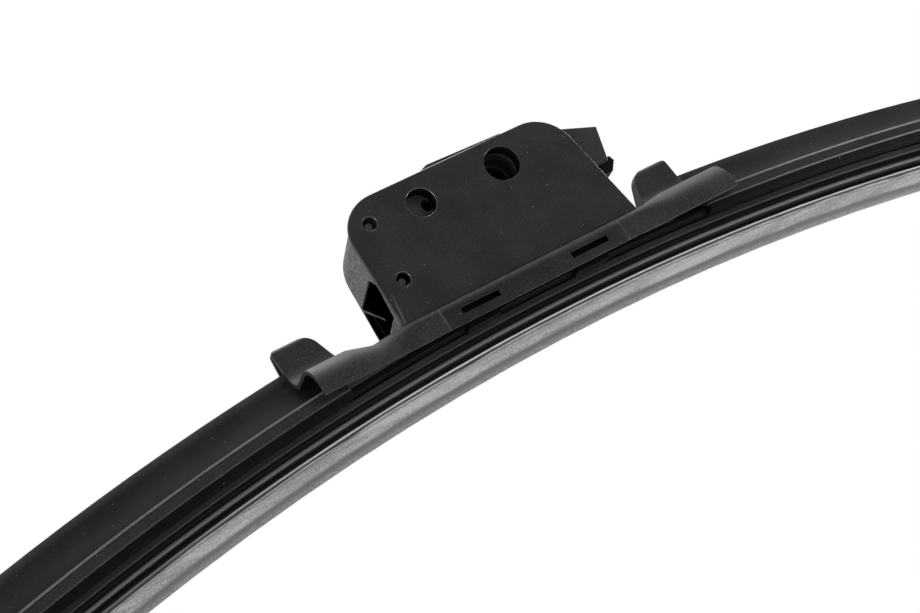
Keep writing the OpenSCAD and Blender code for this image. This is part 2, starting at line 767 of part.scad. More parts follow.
module housing() {
    boss_end = -plate_y + pin_sink + pin_len;
    color([0.19, 0.19, 0.20])
        difference() {
            union() {
                difference() {
                    housing_solid(0, wall_front, far_y);
                    intersection() {
                        housing_solid(housing_wall, wall_front - past, far_in);
                        translate([foot_left, wall_front - 2 * past, floor_z])
                            cube([foot_right - foot_left, far_y + plate_y, 2 * deck_drop]);
                    }
                    // The top and the right end are open for the adapter block
                    translate([roof_end, wall_front - past, floor_z])
                        cube([foot_right - roof_end + past, far_in - wall_front + past, 2 * deck_drop]);
                    lengthwise(port_out, port_in)
                        port();
                }
                intersection() {
                    union() {
                        lengthwise(port_out, port_in + rib_deep)
                            port_rib();
                        lengthwise(port_out, port_in)
                            port_gusset();
                        // Webs from the end wall to the bosses
                        for (p = pin_at)
                            translate([port_out, wall_front, p[1] - housing_wall / 2])
                                cube([p[0] - port_out, port_near - wall_front, housing_wall]);
                    }
                    housing_solid(0, wall_front, far_y);
                }
                // Bosses for the two assembly pins
                for (p = pin_at)
                    across(p[0], p[1], boss_r, plate_back, boss_end);
            }
            for (p = pin_at) {
                across(p[0], p[1], pin_recess_r, plate_back - past, -plate_y + pin_recess);
                across(p[0], p[1], pin_r, plate_back, boss_end + past);
            }
            for (s = [-1, 1])
                rivet_hole(s);
        }
}

module side_plate() {
    color([0.16, 0.16, 0.17])
        difference() {
            union() {
                upright(-plate_y, plate_back)
                    housing_outline(0, plate_left, plate_corner_r, 0);
                across(0, 0, pin_bore_r + collar_wall, plate_back - sink, collar_end);
                across(peg_at[0], peg_at[1], peg_r + collar_wall, plate_back - sink, collar_end);
            }
            across(0, 0, pin_bore_r, -plate_y - past, collar_end + past);
            across(peg_at[0], peg_at[1], peg_r, -plate_y - past, collar_end + past);
            for (p = pin_at)
                across(p[0], p[1], pin_recess_r, -plate_y - past, plate_back + past);
        }
}

// Side view of the block, [x, z]: a ramp, a long top, a tail, and a jaw under the button
module block_outline() {
    under = leg_x - leg_half;
    polygon([[block_l, -belly_drop], [block_l, roof_under], [roof_end + sink, roof_under],
        [roof_end + sink, housing_top + housing_wall / 2], [roof_end + ramp_w, block_top],
        [knee_x, block_top - knee_fall], [tail_x, -tip_drop],
        [tail_x - tail_slant, -tail_drop + tail_chamfer],
        [tail_x - tail_slant - tail_chamfer / 3, -tail_drop],
        [jaw_x, -tail_drop], [jaw_x, jaw_low], [under, jaw_low], [under, -belly_drop]]);
}

module adapter_block() {
    room_w = button_w + 2 * button_fit;
    color([0.16, 0.16, 0.17])
        difference() {
            union() {
                upright(collar_end, far_in)
                    block_outline();
                // Leg down to the housing's floor
                translate([leg_x - leg_half, collar_end + 2 * past, floor_z])
                    cube([2 * leg_half, far_in - collar_end - 2 * past, jaw_low - floor_z + sink]);
            }
            // Stepped bore for the side pin, and the relief hole in the peg socket's floor
            across(0, 0, pin_bore_r, collar_end - past, -plate_y + step_depth);
            across(0, 0, journal_r, -plate_y + step_depth - past, far_in + past);
            across(peg_at[0] + relief_x, peg_at[1], relief_r, collar_end - past, collar_end + relief_deep);
            // Channel and pocket of the release button
            translate([pocket_l, -room_w / 2, button_low - button_fit])
                cube([tail_x - pocket_l, room_w, button_h + 2 * button_fit]);
            translate([pocket_l, -room_w / 2, button_low - head_up - button_fit])
                cube([head_x + button_fit - pocket_l, room_w, button_h + 2 * head_up + 2 * button_fit]);
            translate([button_x - pad_l - button_travel - button_fit, -room_w / 2, button_low])
                cube([tail_x, room_w, button_h + pad_up + button_fit]);
        }
}

module release_button() {
    pad_top = button_top + pad_up;
    low = [button_x - pad_slant, button_low + grip_r];
    high = [button_x - grip_r, button_top - grip_r];
    color([0.10, 0.10, 0.11]) {
        upright(-button_w / 2, button_w / 2)
            polygon([[head_x - head_l / 2, button_low], [low[0], button_low],
                [button_x - grip_r / 2, high[1]], [button_x - grip_r / 2, pad_top - grip_r],
                [button_x - grip_r, pad_top], [button_x - pad_l, pad_top],
                [button_x - pad_l, button_top], [head_x - head_l / 2, button_top]]);
        translate([head_x - head_l, -button_w / 2, button_low - head_up])
            cube([head_l, button_w, button_h + 2 * head_up]);
        for (i = [0 : grip_ribs - 1]) {
            c = low + (high - low) * i / (grip_ribs - 1);
            across(c[0], c[1], grip_r, -button_w / 2, button_w / 2);
        }
    }
}

module assembly_pin(i) {
    front = -plate_y + pin_sink;
    color([0.30, 0.30, 0.31])
        across(pin_at[i][0], pin_at[i][1], pin_r, front, front + pin_len);
}

module rivet(s) {
    color([0.45, 0.45, 0.46])
        translate([rivet_x(s), 0, bracket_low]) {
            cylinder(r = rivet_r, h = floor_z - bracket_low);
            translate([0, 0, floor_z - bracket_low])
                cylinder(r = rivet_head_r, h = rivet_head_h);
            translate([0, 0, -rivet_head_h])
                cylinder(r = rivet_head_r, h = rivet_head_h);
        }
}

wiper_rubber();
rail(-1);  // rail_near
rail(1);  // rail_far
rail_clip(-1);  // rail_clip_left
rail_clip(1);  // rail_clip_right
spoiler_left();
spoiler_right();
end_cap(-1);  // end_cap_left
end_cap(1);  // end_cap_right
claw_bracket();
carrier();
housing();
side_plate();
adapter_block();
release_button();
assembly_pin(0);  // pin_upper
assembly_pin(1);  // pin_lower
rivet(-1);  // rivet_left
rivet(1);  // rivet_right
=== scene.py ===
# %% [markdown]
# A wiper blade of the frameless kind, seen from below and from its left: a bowed rubber strip
# under a spoiler, with a moulded carrier in the middle and the adapter housing on top of it.
# The solids are already made, and could be rendered as they are. They would look like sharp,
# even blocks, though, so this lesson rounds their edges, gives each material its finish, and
# sets up the camera and the light of a white studio.

# %% Load the packed solids
import math

import bmesh
import bpy
from mathutils import Matrix, Vector


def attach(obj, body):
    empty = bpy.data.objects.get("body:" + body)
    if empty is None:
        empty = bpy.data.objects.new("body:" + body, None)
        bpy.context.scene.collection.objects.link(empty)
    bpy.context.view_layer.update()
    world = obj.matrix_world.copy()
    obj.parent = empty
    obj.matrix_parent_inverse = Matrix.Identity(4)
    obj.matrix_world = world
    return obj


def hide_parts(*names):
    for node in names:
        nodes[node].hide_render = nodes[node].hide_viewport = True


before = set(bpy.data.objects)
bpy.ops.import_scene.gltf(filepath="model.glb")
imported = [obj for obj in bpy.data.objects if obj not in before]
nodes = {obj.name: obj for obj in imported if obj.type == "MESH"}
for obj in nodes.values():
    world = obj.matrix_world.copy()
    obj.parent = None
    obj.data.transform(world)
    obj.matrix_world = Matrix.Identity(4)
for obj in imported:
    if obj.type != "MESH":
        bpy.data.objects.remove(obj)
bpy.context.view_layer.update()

MM = 0.001

# %% [markdown]
# The camera stands low in front of the left end, turned on its side by about a third of a right
# angle, so that the blade rises to the right across the picture. It could be moved by eye until
# the picture looks right, but a long bowed thing shows every degree. Its place and focal length
# were worked out from points on the real blade instead, and are given here as numbers.

# %% Camera
turn, tilt, roll = math.radians(22.98), math.radians(13.49), math.radians(-32.41)
sensor_mm, lens_mm = 36, 71.09
place_mm = (-167.73, -343.74, -111.16)
nearest, farthest = 0.01, 20

look = Vector((math.sin(turn) * math.cos(tilt), math.cos(turn) * math.cos(tilt), math.sin(tilt)))
level = Vector((math.cos(turn), -math.sin(turn), 0))
upright = level.cross(look)
right = math.cos(roll) * level + math.sin(roll) * upright
up = math.cos(roll) * upright - math.sin(roll) * level

camera = bpy.data.objects.new("camera", bpy.data.cameras.new("camera"))
camera.data.sensor_width, camera.data.lens = sensor_mm, lens_mm
camera.data.clip_start, camera.data.clip_end = nearest, farthest
camera.matrix_world = Matrix((right, up, -look)).transposed().to_4x4()
camera.location = Vector(place_mm) * MM
bpy.context.scene.collection.objects.link(camera)
bpy.context.scene.camera = camera
print("camera looks along", [round(v, 3) for v in look])

# %% [markdown]
# A white studio is mostly white card: dark plastic shows it as a soft sheen that grows towards
# the edges of each form. The card could be built as walls around the blade. The world is
# simpler and has no seams: seen directly or in a reflection it is plain white, and as light
# that falls on the blade it is weaker, so that black things stay black.

# %% The white world
def link(tree, a, b):
    tree.links.new(a, b)

def studio_world(card, fill):
    world = bpy.data.worlds.new("studio")
    world.use_nodes = True
    tree = world.node_tree
    background = tree.nodes["Background"]
    rays = tree.nodes.new("ShaderNodeLightPath")
    seen = rays.outputs["Is Camera Ray"]
    for other in ("Is Glossy Ray", "Is Transmission Ray"):
        either = tree.nodes.new("ShaderNodeMath")
        either.operation = "MAXIMUM"
        link(tree, seen, either.inputs[0])
        link(tree, rays.outputs[other], either.inputs[1])
        seen = either.outputs[0]
    shown = tree.nodes.new("ShaderNodeMix")
    link(tree, seen, shown.inputs["Factor"])
    shown.inputs["A"].default_value = fill
    shown.inputs["B"].default_value = card
    link(tree, shown.outputs["Result"], background.inputs["Strength"])
    background.inputs["Color"].default_value = (1, 1, 1, 1)
    bpy.context.scene.world = world

studio_world(card=1.0, fill=0.38)
bpy.context.scene.view_settings.view_transform = "Standard"
print("world:", bpy.context.scene.world.name)

# %% [markdown]
# The ridges of the strip and the worn edges of the plastic show thin highlights. The even world
# can't draw those, so softboxes do: one above, one at each end, a small one below for the
# undersides, and one on the near side that lights without being mirrored. Point lamps would
# draw highlights too, but with hard shadows, which a white studio doesn't have.

# %% Lamps
def softbox(name, place, aim, width, height, power):
    data = bpy.data.lights.new(name, "AREA")
    data.shape, data.size, data.size_y, data.energy = "RECTANGLE", width, height, power
    lamp = bpy.data.objects.new(name, data)
    lamp.location = place
    lamp.rotation_mode = "QUATERNION"
    lamp.rotation_quaternion = (Vector(aim) - Vector(place)).to_track_quat("-Z", "Y")
    bpy.context.scene.collection.objects.link(lamp)
    return lamp

blade_middle, right_of_middle = (0, 0, 0), (0.1, 0, -0.02)
softbox("top_box", (0.2, 0.15, 0.8), blade_middle, 0.8, 0.5, 8)
softbox("left_box", (-0.9, -0.42, -0.05), blade_middle, 0.5, 0.6, 5.5)
softbox("right_box", (0.95, 0.42, 0.28), blade_middle, 0.4, 0.5, 6.5)
softbox("low_box", (0.34, -0.01, -0.24), blade_middle, 0.12, 0.12, 2.4)
near_box = softbox("near_box", (0.45, -0.45, 0.05), right_of_middle, 0.3, 0.3, 1.9)
near_box.visible_glossy = False

# %% [markdown]
# Every finish is a small tree of nodes. It could be wired by hand in the shader editor, or node
# by node in the script, and both get long. A class with a few short methods keeps the recipes
# below as readable as a list of ingredients: put a value on a socket, calculate, ramp, mix.

# %% A finish and its nodes
class Finish:
    def __init__(self, name):
        self.material = bpy.data.materials.new(name)
        self.material.use_nodes = True
        self.tree = self.material.node_tree
        self.shader = self.tree.nodes["Principled BSDF"]
        self.place = self.node("TexCoord").outputs["Object"]

    def node(self, kind):
        return self.tree.nodes.new("ShaderNode" + kind)

    def put(self, value, socket):
        if isinstance(value, (int, float, tuple, list)):
            socket.default_value = value
        else:
            link(self.tree, value, socket)

    def give(self, **values):
        names = {"colour": "Base Color", "rough": "Roughness", "metallic": "Metallic",
                 "specular": "Specular IOR Level"}
        for key, value in values.items():
            self.put(value, self.shader.inputs[names[key]])

    def calc(self, operation, a, b=0.0, c=0.0):
        sum_node = self.node("Math")
        sum_node.operation = operation
        for value, socket in zip((a, b, c), sum_node.inputs):
            self.put(value, socket)
        return sum_node.outputs[0]

    def ramp(self, value, low, high, a=0.0, b=1.0):
        slope = self.node("MapRange")
        slope.interpolation_type = "SMOOTHSTEP"
        for given, socket in zip((value, low, high, a, b), slope.inputs):
            self.put(given, socket)
        return slope.outputs["Result"]

    def mix(self, factor, a, b):
        paint = self.node("Mix")
        paint.data_type = "RGBA"
        factor_in, colours_in, colour_out = paint.inputs[0], paint.inputs[6:8], paint.outputs[2]
        self.put(factor, factor_in)
        for grey, socket in zip((a, b), colours_in):
            self.put((grey, grey, grey, 1) if isinstance(grey, float) else grey, socket)
        return colour_out

print("a finish can:", [m for m in vars(Finish) if not m.startswith("_")])

# %% [markdown]
# Many marks on the blade sit at a known place: a dark bore, a worn edge, a pale line. They could
# be painted on an image that is wrapped around the part. A mask that is worked out from the
# place, in millimetres from the part's own origin, stays sharp at any distance and needs no
# wrapping. Masks are numbers from 0 to 1, so they can be multiplied and compared.

# %% Masks from the place
class Masked(Finish):
    def axes(self):
        split = self.node("SeparateXYZ")
        link(self.tree, self.place, split.inputs[0])
        return split.outputs

    def rise(self, value, low_mm, high_mm, top=1.0):
        return self.ramp(value, low_mm * MM, high_mm * MM, 0.0, top)

    def fall(self, value, low_mm, high_mm, top=1.0):
        return self.ramp(value, low_mm * MM, high_mm * MM, top, 0.0)

    def band(self, value, rise_mm, fall_mm):
        return self.times(self.rise(value, *rise_mm), self.fall(value, *fall_mm))

    def times(self, first, *others):
        for other in others:
            first = self.calc("MULTIPLY", first, other)
        return first

    def most(self, first, *others):
        for other in others:
            first = self.calc("MAXIMUM", first, other)
        return first

    def without(self, mask):
        return self.calc("SUBTRACT", 1.0, mask)

    def apart(self, value, middle_mm):
        return self.calc("ABSOLUTE", self.calc("SUBTRACT", value, middle_mm * MM))

print("a mask can:", [m for m in vars(Masked) if not m.startswith("_")])

# %% [markdown]
# No real surface is even. Moulds leave a grain, plastic cools in blotches, and dust lies on it
# in single specks. Photographs of such surfaces would do, but they repeat and they blur close
# up. Noise nodes give grain and blotches of any size, and a cell pattern, of which only some
# cells are picked, gives the specks.

# %% Grain, blotches and specks
class Grained(Masked):
    def pattern(self, kind, size_mm, stretch=(1, 1, 1)):
        mapping, texture = self.node("Mapping"), self.node(kind)
        mapping.inputs["Scale"].default_value = [s / (size_mm * MM) for s in stretch]
        texture.inputs["Scale"].default_value = 1
        link(self.tree, self.place, mapping.inputs["Vector"])
        link(self.tree, mapping.outputs[0], texture.inputs["Vector"])
        return texture

    def noise(self, size_mm, detail=2.0, rough=0.5, stretch=(1, 1, 1)):
        cloud = self.pattern("TexNoise", size_mm, stretch)
        cloud.inputs["Detail"].default_value = detail
        cloud.inputs["Roughness"].default_value = rough
        return cloud.outputs["Fac"]

    def blend(self, a, share, b):
        return self.calc("ADD", self.times(a, share), self.times(b, 1 - share))

    def specks(self, cell_mm, share, radius):
        cells, chance = self.pattern("TexVoronoi", cell_mm), self.node("SeparateColor")
        link(self.tree, cells.outputs["Color"], chance.inputs[0])
        picked = self.ramp(chance.outputs[0], 1 - share, 1 - share + 0.02)
        near = self.ramp(cells.outputs["Distance"], radius * 0.5, radius, 1.0, 0.0)
        return self.times(picked, near)

    def dusted(self, colour, share=0.9):
        cell_mm, speck_radius, dust_grey = 2.2, 0.075, 0.11
        return self.mix(self.specks(cell_mm, share, speck_radius), colour, dust_grey)

    def bump(self, height, depth_mm):
        relief = self.node("Bump")
        relief.inputs["Distance"].default_value = depth_mm * MM
        link(self.tree, height, relief.inputs["Height"])
        link(self.tree, relief.outputs["Normal"], self.shader.inputs["Normal"])

print("a grain can:", [m for m in vars(Grained) if not m.startswith("_")])

# %% [markdown]
# The blade lies in front of white card, with no shadow that the picture shows. A curved backdrop
# would do as well, but the world is white already, so that one flat card well below the blade is
# enough to throw light back onto its underside.

# %% Floor
def card_floor(half, low):
    corners = [(-half, -half, low), (half, -half, low), (half, half, low), (-half, half, low)]
    mesh = bpy.data.meshes.new("floor")
    mesh.from_pydata(corners, [], [(0, 1, 2, 3)])
    card = bpy.data.objects.new("floor", mesh)
    bpy.context.scene.collection.objects.link(card)
    f = Grained("floor_card")
    f.give(colour=f.mix(f.noise(300), 0.84, 0.88), rough=0.9, specular=0.1)
    mesh.materials.append(f.material)
    return card

floor = card_floor(half=3.0, low=-0.26)
print("floor at", round(floor.data.vertices[0].co.z / MM), "mm")

# %% [markdown]
# The plate, the block, the carrier, the button and the caps are moulded black plastic, and yet
# no two of them look alike: each has its own black, grain and share of dust. Five materials
# could be made one by one. One recipe with these as values is shorter, and a change to it
# reaches all five. Masks that the caller gives make places paler or more glossy, or darker as
# painted shade, near black and without sheen.

# %% Moulded plastic
POLISHED = 0.25

def moulded(name, dark, light, rough, grain_mm, grain_depth, specular=0.2, dust=0.9,
            shade_where=None, shade_colour=0.004, glossy_where=None, pale_where=None):
    f = Grained(name)
    blotch = f.noise(9.0, 3)
    grain = f.noise(grain_mm, 2, 0.6)
    tone = f.blend(blotch, 0.4, grain)
    colour = f.dusted(f.mix(f.ramp(tone, 0.4, 0.6), dark, light), dust)
    if pale_where:
        colour = f.mix(pale_where(f), colour, 0.05)
    # Painted shade: where the caller's mask says, the colour goes near black and the sheen goes
    # out.
    painted_shade = shade_where(f) if shade_where else 0.0
    shiny = glossy_where(f) if glossy_where else 0.0
    matt = f.ramp(tone, 0.3, 0.7, rough - 0.05, rough + 0.07)
    sheen = f.calc("MULTIPLY_ADD", shiny, 0.8, specular)
    f.give(colour=f.mix(painted_shade, colour, shade_colour),
           rough=f.calc("MULTIPLY_ADD", shiny, f.calc("SUBTRACT", POLISHED, matt), matt),
           specular=f.times(sheen, f.without(painted_shade)))
    f.bump(grain, grain_depth)
    return f.material

print("polished edges have a roughness of", POLISHED)

# %% [markdown]
# The side plate is the smoothest piece. Its two stepped holes are painted nearly black inside as
# painted shade, and the rounding along its edge is rubbed glossy, less so towards the right and at
# the far left. A pale sink mark runs up from its lower left corner. The mark could be cut into the
# solid, but it is too shallow to cast a shadow, so colour alone shows it, as a painted highlight.

# %% Side plate
LARGE_HOLE, SMALL_HOLE = (0, 0, 3.97), (-20.8, -0.2, 3.24)
EDGE_START_Y, EDGE_END_Y = (-9.74, -9.70), (-9.4, -9.3)
SINK_LEAN, SINK_FOOT_X, SINK_HALF = -0.123, -35.53, (0.1, 0.35)

def disc(f, hole, margin_mm):
    x_mm, z_mm, radius = hole
    x, _, z = f.axes()
    dx, dz = f.calc("SUBTRACT", x, x_mm * MM), f.calc("SUBTRACT", z, z_mm * MM)
    away = f.calc("SQRT", f.calc("ADD", f.times(dx, dx), f.times(dz, dz)))
    return f.fall(away, radius + margin_mm, radius + margin_mm + 0.05)

# Painted shade: the walls of both holes are nearly black.
def shaded_holes(f):
    return f.most(disc(f, LARGE_HOLE, 0.02), disc(f, SMALL_HOLE, 0.02))

def plate_edges(f):
    x, y, _ = f.axes()
    edge = f.band(y, EDGE_START_Y, EDGE_END_Y)
    dull_right = f.rise(x, -8, 2, 0.8)
    dull_left = f.fall(x, -37, -36, 0.7)
    return f.times(edge, f.without(f.most(dull_right, dull_left)))

# Painted highlight: a pale line along the sink mark.
def sink_mark_highlight(f):
    x, _, z = f.axes()
    off = f.apart(f.calc("MULTIPLY_ADD", z, SINK_LEAN, x), SINK_FOOT_X)
    return f.times(f.fall(off, *SINK_HALF), f.fall(z, -20, -14))

plate_finish = moulded("plate_plastic", dark=0.005, light=0.014, rough=0.44, grain_mm=0.35,
                       grain_depth=0.010, shade_where=shaded_holes, glossy_where=plate_edges,
                       pale_where=sink_mark_highlight)
print("holes are", 2 * LARGE_HOLE[2], "and", 2 * SMALL_HOLE[2], "mm wide at the plate")

# %% [markdown]
# The adapter block behind the plate is greyer, and light that falls through the holes shows on
# the steps of its bores. A lamp inside each hole would show them too, but also light the plate's
# own edge, so the bores are simply a little paler, the small one more than the large one.

# %% Adapter block
def in_bores(f):
    return f.most(f.times(disc(f, LARGE_HOLE, 0.1), 0.35), f.times(disc(f, SMALL_HOLE, 0.1), 0.55))

block_finish = moulded("block_plastic", dark=0.010, light=0.022, rough=0.46, grain_mm=0.35,
                       grain_depth=0.012, pale_where=in_bores)
print("finish:", block_finish.name)

# %% [markdown]
# The carrier has the roughest grain. Hardly any light gets under its skirt and into its four
# slots, so both are painted near black as painted shade; the proud pad round the slots is a shade
# darker, and a fine pale line stands at each end of the pad. These could be faces with materials
# of their own, picked by hand. Masks measured from the middle of the carrier need no picking, and
# one distance serves both ends.

# %% Carrier
CARRIER_MIDDLE, PAD_HALF, PAD_FACE_Y = -8.4, 22.9, 11.7
SLOT_FROM_MIDDLE, SLOT_Z = 13.95, -25.7
SLOT_HALF_LENGTH, SLOT_HALF_HEIGHT = (4.74, 4.8), (0.71, 0.77)

def in_slots(f):
    x, y, z = f.axes()
    along = f.apart(f.apart(x, CARRIER_MIDDLE), SLOT_FROM_MIDDLE)
    above = f.apart(z, SLOT_Z)
    mouth = f.times(f.fall(along, *SLOT_HALF_LENGTH), f.fall(above, *SLOT_HALF_HEIGHT))
    return f.times(mouth, f.fall(f.apart(y, 0), PAD_FACE_Y - 0.2, PAD_FACE_Y - 0.05))

def pad_ends(f):
    x, y, _ = f.axes()
    off = f.apart(f.apart(x, CARRIER_MIDDLE), PAD_HALF)
    wander = f.times(f.noise(1.2, 2), 0.25 * MM)
    line = f.fall(f.calc("ADD", off, wander), 0.2, 0.38)
    return f.times(line, f.rise(f.apart(y, 0), PAD_FACE_Y - 0.5, PAD_FACE_Y - 0.2))

def on_pad(f):
    x, y, _ = f.axes()
    along = f.fall(f.apart(x, CARRIER_MIDDLE), PAD_HALF - 0.1, PAD_HALF)
    proud = f.rise(f.apart(y, 0), PAD_FACE_Y - 0.04, PAD_FACE_Y)
    return f.times(along, proud, 0.3)

def under_skirt(f):
    x, y, z = f.axes()
    wall = f.ramp(f.apart(x, CARRIER_MIDDLE), 26 * MM, 28 * MM, 11.3 * MM, 10.7 * MM)
    inside = f.fall(f.calc("SUBTRACT", f.apart(y, 0), wall), 0.0, 0.1)
    return f.times(inside, f.fall(z, -25.4, -25.2))

# Painted shade under the skirt and in the slots; the pad only a little darker.
def unlit_carrier(f):
    return f.most(under_skirt(f), in_slots(f), on_pad(f))

carrier_finish = moulded("carrier_plastic", dark=0.007, light=0.022, rough=0.52, grain_mm=0.45,
                         grain_depth=0.012, shade_where=unlit_carrier, shade_colour=0.001,
                         pale_where=pad_ends)
print("pad is", 2 * PAD_HALF, "mm long")

# %% [markdown]
# The ribbed button is the blackest piece and carries no dust, because thumbs wipe it. The end
# caps are plain. Both follow from the recipe with other values, and need no mask.

# %% Button and caps
button_finish = moulded("button_plastic", dark=0.003, light=0.005, rough=0.45, grain_mm=0.4,
                        grain_depth=0.006, specular=0.05, dust=0.0)
cap_finish = moulded("cap_plastic", dark=0.010, light=0.015, rough=0.42, grain_mm=0.4,
                     grain_depth=0.010)
print("plastics:", len([m for m in bpy.data.materials if "plastic" in m.name]))

# %% [markdown]
# The housing's end wall has caught dust and light scratches, and its grain shows nearly grey. That
# pale grey is also painted light, for the strong light that falls on the wall from the left. The
# rest of the housing is smooth and dark. A pale zone like this could be painted, but its edge is
# simple: it starts behind the side plate, further back where the wall is high, and it fades a few
# millimetres inward from the wall's face. A little noise lets that edge wander.

# %% Where the dust and the painted light lie
def dust_and_light_on_end_wall(f):
    x, y, z = f.axes()
    start = f.ramp(z, -8 * MM, 0.5 * MM, -6.5 * MM, -4.3 * MM)
    wander = f.times(f.calc("SUBTRACT", f.noise(2.5, 2), 0.5), 0.8 * MM)
    past_start = f.calc("ADD", f.calc("SUBTRACT", y, start), wander)
    inward = f.calc("MULTIPLY_ADD", wander, 4.0, x)
    return f.times(f.rise(past_start, -0.25, 0.35), f.fall(inward, -36.2, -32.5))

wall_x = min(corner[0] for corner in nodes["housing"].bound_box)
print("the end wall stands at x =", round(wall_x / MM, 1), "mm")

# %% [markdown]
# Behind the opening in the end wall the housing is hollow. In the studio some light would reach
# its inner faces from the sides that the picture doesn't show, and the hollow would look grey.
# Hiding those faces would open the solid, so they are made black instead: everything further in
# than the wall, except the rounded upper corner, which can be seen from behind.

# %% The dark hollow
WALL_LEAN, WALL_BACK = -0.054, -36.2

def in_hollow(f):
    x, y, z = f.axes()
    behind_wall = f.rise(f.calc("MULTIPLY_ADD", z, WALL_LEAN, x), WALL_BACK - 0.5, WALL_BACK)
    inner = f.times(behind_wall, f.fall(z, 4.6, 5.0), f.fall(y, 10.7, 11.0))
    upper_corner = f.times(f.fall(x, -26.5, -26.2), f.rise(z, -4.9, -4.6))
    inner = f.times(inner, f.without(upper_corner))
    far_wall_face = f.times(f.fall(f.apart(y, 10.9), 0.05, 0.1), f.fall(z, -10.2, -9.9))
    return f.most(inner, far_wall_face)

print("the hollow begins", round(WALL_BACK - wall_x / MM, 1), "mm behind the wall's face")

# %% [markdown]
# The two masks come together in one material. It could be three materials on three groups of
# faces, with a hard border between them. One material with masks has soft borders and leaves
# the housing one piece, as it is on the real blade.

# %% Housing
def housing_plastic():
    f = Grained("housing_plastic")
    dust_and_light, hollow = dust_and_light_on_end_wall(f), in_hollow(f)
    fine, coarse = f.noise(0.6, 4, 0.7), f.noise(3.0, 3)
    # Dust and grain, with a pale grey that is partly painted light from the left.
    dust = f.mix(f.ramp(f.blend(fine, 0.8, coarse), 0.38, 0.62), 0.03, 0.165)
    smooth = f.mix(f.ramp(fine, 0.4, 0.6), 0.012, 0.02)
    f.give(colour=f.mix(hollow, f.mix(dust_and_light, smooth, dust), 0.002),
           rough=f.ramp(dust_and_light, 0, 1, 0.4, 0.6),
           specular=f.times(f.ramp(dust_and_light, 0, 1, 0.01, 0.2), f.without(hollow)))
    f.bump(f.times(fine, dust_and_light), 0.03)
    return f.material

housing_finish = housing_plastic()
print("finish:", housing_finish.name)

# %% [markdown]
# The strip and the spoiler follow the bow of the blade, and so do all their lines: coating,
# shoulder, ridges and creases. A line at a fixed height above the table would cross them. The
# distance from the bow's centre, less the bow's radius, is the height above the lip at any
# point of the blade, and a mask that uses it stays parallel to the lip.

# %% Height above the lip
BOW_X, BOW_R, LIP_DROP = -6 * MM, 570 * MM, 38.1 * MM

def height_above_lip(f):
    def vector_step(operation, value, second=None):
        step = f.node("VectorMath")
        step.operation = operation
        link(f.tree, value, step.inputs[0])
        if second:
            step.inputs[1].default_value = second
        return step
    from_centre = vector_step("SUBTRACT", f.place, (BOW_X, 0, -LIP_DROP - BOW_R)).outputs[0]
    in_side_view = vector_step("MULTIPLY", from_centre, (1, 0, 1)).outputs[0]
    distance = vector_step("LENGTH", in_side_view).outputs["Value"]
    return f.calc("SUBTRACT", distance, BOW_R)

# Painted light: the studio light is stronger towards the right, so painted lines and tones that
# use this mask grow paler there.
def light_towards_right(f):
    return f.rise(f.axes()[0], 30, 90)

print("bow radius", BOW_R / MM, "mm")

# %% [markdown]
# The lip of a wiping strip is coated with graphite, so that it slides on dry glass. The coating
# is a light grey with long streaks, and the very edge of the lip is rubbed darker. It could be
# a thin solid of its own, but it has no thickness to see, so it is a change of colour at a
# height that wanders a little.

# %% Graphite lip
COATING_TOP, RUBBED_TOP = (4.3, 4.45), (1.5, 2.3)

def graphite_lip(f, height, edge, streak, fleck):
    graphite = f.mix(f.ramp(f.blend(streak, 0.5, fleck), 0.38, 0.62), 0.19, 0.36)
    speckled = f.mix(f.ramp(fleck, 0.4, 0.6), 0.13, 0.21)
    rubbed = f.mix(f.rise(height, 0.3, 1.4), speckled, 0.11)
    return f.mix(f.rise(edge, *RUBBED_TOP), rubbed, graphite)

print("the coating ends", COATING_TOP[0], "mm above the lip")

# %% [markdown]
# Above the coating the rubber is black, but its ridges carry pale lines where light grazes them,
# and the shoulder over the lip shows an almost white line except at the left end. Lamps alone
# could draw these lines only if the ridges were rounded exactly as on the real strip. Each line is
# therefore a painted highlight, given as two heights and a grey; the upper two grow brighter
# towards the right, where the light is stronger.

# %% Rubber strip
def strip_rubber():
    f = Grained("strip_rubber")
    height, light_to_right = height_above_lip(f), light_towards_right(f)
    streak = f.noise(1.6, 4, 0.6, (0.08, 1, 1))
    fleck = f.noise(0.35, 3, 0.65)
    edge = f.calc("ADD", height, f.times(f.calc("SUBTRACT", streak, 0.5), 0.5 * MM))
    rubber = f.mix(fleck, 0.003, 0.006)
    # Painted highlights: pale stripes on the ridges, the neck and the shoulder.
    upper_edge, upper_face = (8.45, 9.0), (9.0, 10.3)
    lower_face, neck = (6.3, 7.05), (4.5, 4.85)
    soft = 0.15
    for (low, high), grey in ((upper_edge, f.mix(light_to_right, 0.035, 0.06)),
                              (upper_face, f.mix(light_to_right, 0.018, 0.036)),
                              (lower_face, 0.07), (neck, 0.05)):
        highlight_stripe = f.band(height, (low, low + soft), (high - soft, high))
        rubber = f.mix(highlight_stripe, rubber, grey)
    shoulder = f.band(height, (4.75, 4.9), (5.4, 5.55))
    shoulder = f.times(shoulder, f.ramp(streak, 0.3, 0.6, 0.75, 1.0))
    shoulder_highlight = f.ramp(f.axes()[0], -110 * MM, -50 * MM, 0.2, 0.75)
    rubber = f.mix(shoulder, rubber, shoulder_highlight)
    coated = f.fall(edge, *COATING_TOP)
    f.give(colour=f.mix(coated, rubber, graphite_lip(f, height, edge, streak, fleck)),
           rough=f.ramp(coated, 0, 1, 0.5, 0.62), specular=0.2)
    f.bump(streak, 0.02)
    return f.material

strip_finish = strip_rubber()
print("finish:", strip_finish.name)

